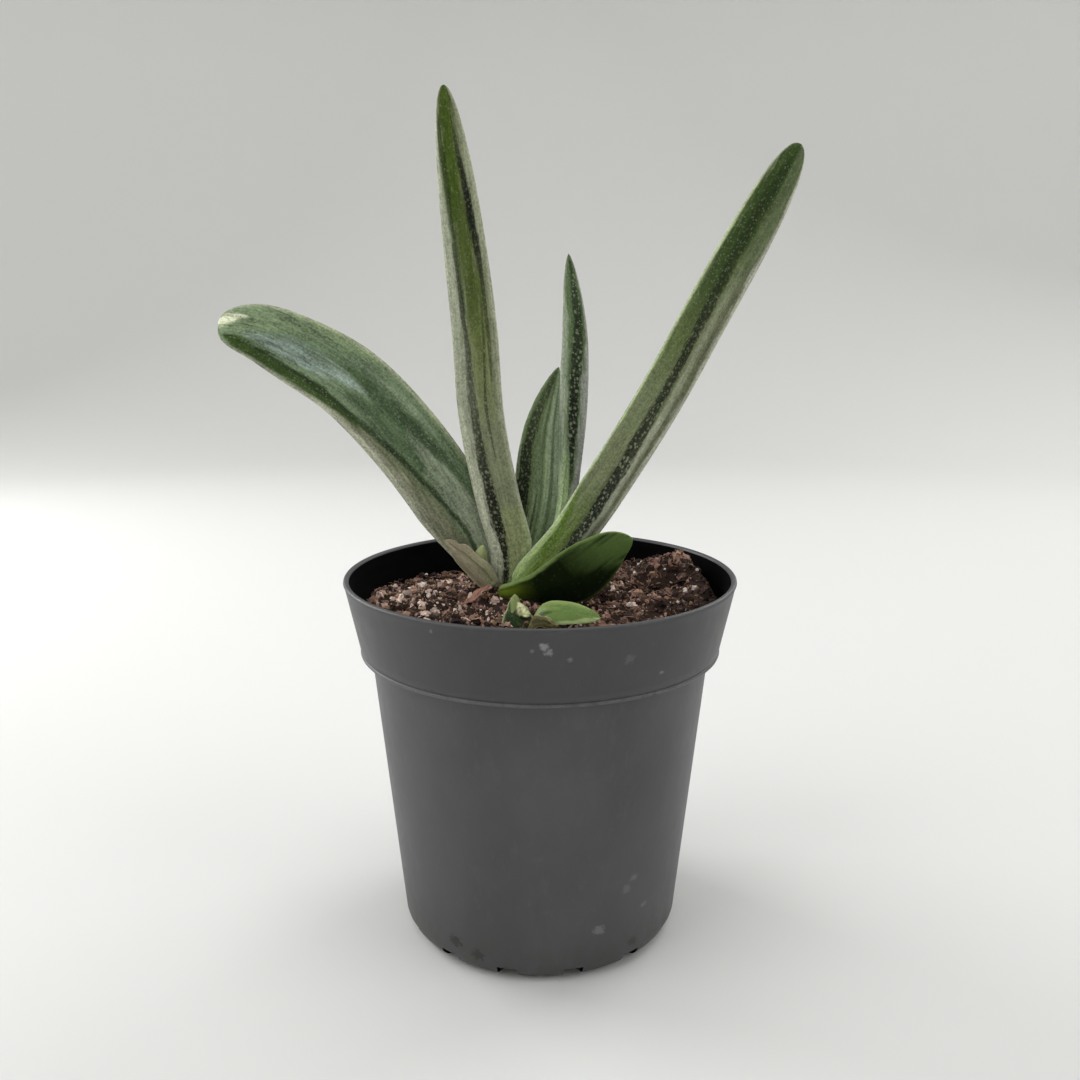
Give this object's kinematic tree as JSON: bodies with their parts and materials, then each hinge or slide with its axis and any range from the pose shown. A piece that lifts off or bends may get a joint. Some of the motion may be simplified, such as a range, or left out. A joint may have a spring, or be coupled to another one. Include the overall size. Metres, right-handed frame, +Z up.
{
  "type": "potted succulent plant",
  "caption": "Young gasteria with upright and arching strap leaves, growing in peaty soil in a round tapered plastic nursery pot with a deep collar.",
  "frame": {"origin": "centre of the pot's flat underside, on the pot's axis", "axes": "+Z up along the pot's axis; +X towards the long leaf that leans out on the right; -Y is the front, where the small broken pup leaves lie"},
  "size_m": [0.1472, 0.105, 0.2203],
  "materials": {
    "pot": "satin",
    "soil": "matte",
    "stem": "matte",
    "leaf_tall": "satin",
    "leaf_right": "satin",
    "leaf_left": "satin",
    "leaf_centre": "satin",
    "leaf_centre_left": "satin",
    "leaf_front": "satin",
    "leaf_stub": "satin",
    "pup_leaf_torn": "satin",
    "pup_leaf_small": "satin",
    "dry_sheath": "matte",
    "torn_scrap": "matte",
    "bark_strip": "matte"
  },
  "bodies": {
    "root": {"pot": "pot", "soil": "soil", "stem": "stem", "leaf_tall": "leaf_tall", "leaf_right": "leaf_right", "leaf_left": "leaf_left", "leaf_centre": "leaf_centre", "leaf_centre_left": "leaf_centre_left", "leaf_front": "leaf_front", "leaf_stub": "leaf_stub", "pup_leaf_torn": "pup_leaf_torn", "pup_leaf_small": "pup_leaf_small", "dry_sheath": "dry_sheath", "torn_scrap": "torn_scrap", "bark_strip": "bark_strip"}
  },
  "joints": []
}
